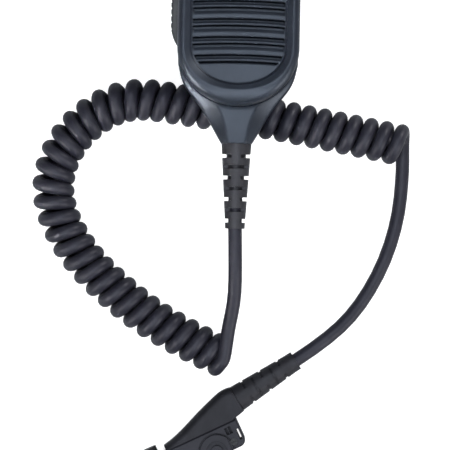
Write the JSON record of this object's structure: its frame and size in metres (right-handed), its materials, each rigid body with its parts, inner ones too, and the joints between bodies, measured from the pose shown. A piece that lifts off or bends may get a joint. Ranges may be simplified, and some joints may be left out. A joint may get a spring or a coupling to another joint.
{
  "type": "hand microphone",
  "caption": "Handheld speaker microphone with louvred grille, side push-to-talk button, swivelling belt clip, curly cord and side-contact radio plug.",
  "frame": {"origin": "where the belt clip's swivel axis meets the clip's outer face, which the microphone lies on", "axes": "+X to the right of the microphone seen from its front, +Y towards its top, +Z out of its grille"},
  "size_m": [0.1636, 0.2543, 0.042],
  "materials": {
    "housing": "fine satin moulded texture",
    "ptt_plastic": "satin",
    "ptt_rubber": "matt ribbed",
    "cover_rubber": "matt",
    "seal_rubber": "matt",
    "cloth": "fine woven mesh",
    "cone_paper": "pressed paper",
    "steel": "satin plated",
    "black_steel": "blackened, satin",
    "magnet": "sintered",
    "copper": "enamelled wire",
    "brass": "machined",
    "gold_contact": "gold plated",
    "board": "solder mask",
    "chip": "moulded",
    "inner_plastic": "moulded",
    "relief_rubber": "satin",
    "cord_jacket": "satin sheath",
    "wire_jacket": "smooth",
    "plug_relief": "satin",
    "plug_rubber": "satin",
    "plug_plastic": "satin",
    "clip_plastic": "fine texture"
  },
  "bodies": {
    "root": {"front_housing": "housing", "rear_housing": "housing", "housing_gasket": "seal_rubber", "speaker_seal": "seal_rubber", "microphone_boot": "seal_rubber", "plug_gasket": "seal_rubber", "grille_cloth": "cloth", "speaker_cone": "cone_paper", "speaker_basket": "steel", "speaker_yoke": "steel", "speaker_top_plate": "steel", "housing_screws": "steel", "board_screws": "steel", "cable_clamp_screws": "steel", "swivel_screw": "steel", "swivel_washer": "steel", "microphone_capsule": "steel", "plug_case_screws": "black_steel", "speaker_magnet": "magnet", "voice_coil": "copper", "swivel_insert": "brass", "plug_contacts": "gold_contact", "circuit_board": "board", "plug_circuit_board": "board", "board_parts": "chip", "ptt_switch": "chip", "earphone_jack": "chip", "cable_clamp": "inner_plastic", "cord_strain_relief": "relief_rubber", "plug_cord_end": "cord_jacket", "cord_inner_end": "cord_jacket", "cord_mic_lead": "cord_jacket", "cord_curl": "cord_jacket", "cord_plug_lead": "cord_jacket", "cord_wires": "wire_jacket", "plug_strain_relief": "plug_relief", "plug_overmould": "plug_rubber", "plug_contact_block": "plug_plastic", "plug_hook": "plug_plastic"},
    "ptt": {"ptt_button": "ptt_plastic", "ptt_pad": "ptt_rubber", "switch_plunger": "inner_plastic"},
    "jack_cover": {"jack_cover": "cover_rubber"},
    "clip_base": {"clip_base": "clip_plastic", "clip_hinge_pin": "steel", "clip_spring": "steel"},
    "clip_lever": {"clip_lever": "clip_plastic"},
    "thumbscrew": {"plug_thumbscrew": "black_steel", "screw_retaining_clip": "steel"}
  },
  "joints": [
    {"name": "ptt_press", "type": "slide", "parent": "root", "child": "ptt", "axis": [1, 0, 0], "range_m": [0, 0.0012], "stiffness_N_per_m": 2500, "springref_m": -0.0006},
    {"name": "clip_swivel", "type": "hinge", "parent": "root", "child": "clip_base", "pos_m": [0, 0, 0.0137], "axis": [0, 0, 1], "continuous": true},
    {"name": "clip_open", "type": "hinge", "parent": "clip_base", "child": "clip_lever", "pos_m": [0, 0.008, 0.0075], "axis": [1, 0, 0], "range_deg": [0, 20], "stiffness_Nm_per_rad": 0.4, "springref_deg": -34.38},
    {"name": "jack_cover_open", "type": "hinge", "parent": "root", "child": "jack_cover", "pos_m": [0.0251, 0.0126, 0.027], "axis": [0, 0, 1], "range_deg": [0, 130]},
    {"name": "plug_screw_turn", "type": "hinge", "parent": "root", "child": "thumbscrew", "pos_m": [-0.03445, -0.20697, 0.007], "axis": [0.4384, -0.8988, 0], "continuous": true}
  ]
}
